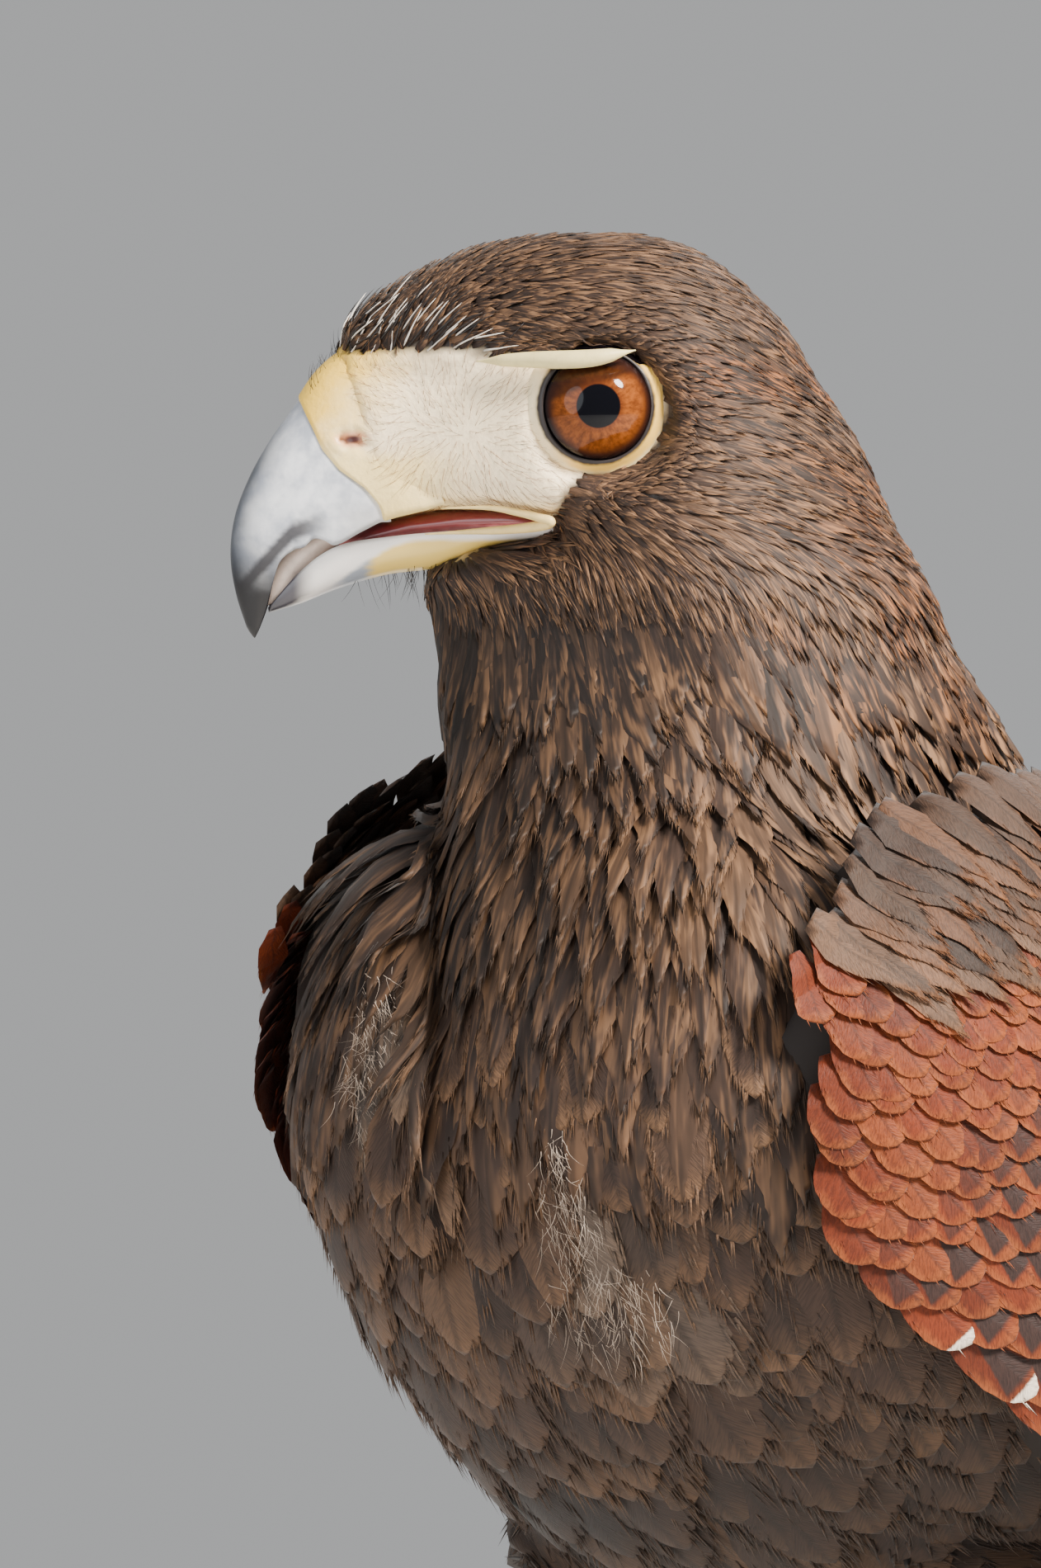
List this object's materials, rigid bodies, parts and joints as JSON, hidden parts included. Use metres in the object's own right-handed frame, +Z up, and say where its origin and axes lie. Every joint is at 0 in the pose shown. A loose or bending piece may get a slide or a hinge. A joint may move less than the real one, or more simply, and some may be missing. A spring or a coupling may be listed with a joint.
{
  "type": "harris hawk",
  "caption": "Life-size standing Harris's hawk, a dark brown raptor with rufous shoulders and thighs, its head turned to its right.",
  "frame": {"origin": "on the floor under the middle of the bird's overall box", "axes": "+Z up, -Y the way the breast faces, +X towards the bird's left wing"},
  "size_m": [0.1404, 0.3376, 0.3772],
  "materials": {
    "dark_plumage": "soft feathers, dark brown",
    "rufous_plumage": "soft feathers, chestnut",
    "tail_plumage": "smooth feathers, blackish with a white base and tip",
    "yellow_skin": "scaly skin, yellow",
    "bill_horn": "polished horn, blue-grey",
    "mouth": "moist, pink",
    "eye": "wet, orange-brown round a black pupil",
    "claw_horn": "polished horn, black"
  },
  "bodies": {
    "root": {"head": "dark_plumage", "cere": "yellow_skin", "bill_upper": "bill_horn", "bill_lower": "bill_horn", "tongue": "mouth", "eye_left": "eye", "eye_right": "eye", "neck": "dark_plumage", "torso": "dark_plumage", "wing_left": "rufous_plumage", "wing_right": "rufous_plumage", "tail": "tail_plumage", "thigh_left": "rufous_plumage", "thigh_right": "rufous_plumage", "shank_left": "yellow_skin", "shank_right": "yellow_skin", "toe_left_middle": "yellow_skin", "toe_left_inner": "yellow_skin", "toe_left_outer": "yellow_skin", "toe_left_hind": "yellow_skin", "toe_right_middle": "yellow_skin", "toe_right_inner": "yellow_skin", "toe_right_outer": "yellow_skin", "toe_right_hind": "yellow_skin", "claw_left_middle": "claw_horn", "claw_left_inner": "claw_horn", "claw_left_outer": "claw_horn", "claw_left_hind": "claw_horn", "claw_right_middle": "claw_horn", "claw_right_inner": "claw_horn", "claw_right_outer": "claw_horn", "claw_right_hind": "claw_horn"}
  },
  "joints": []
}
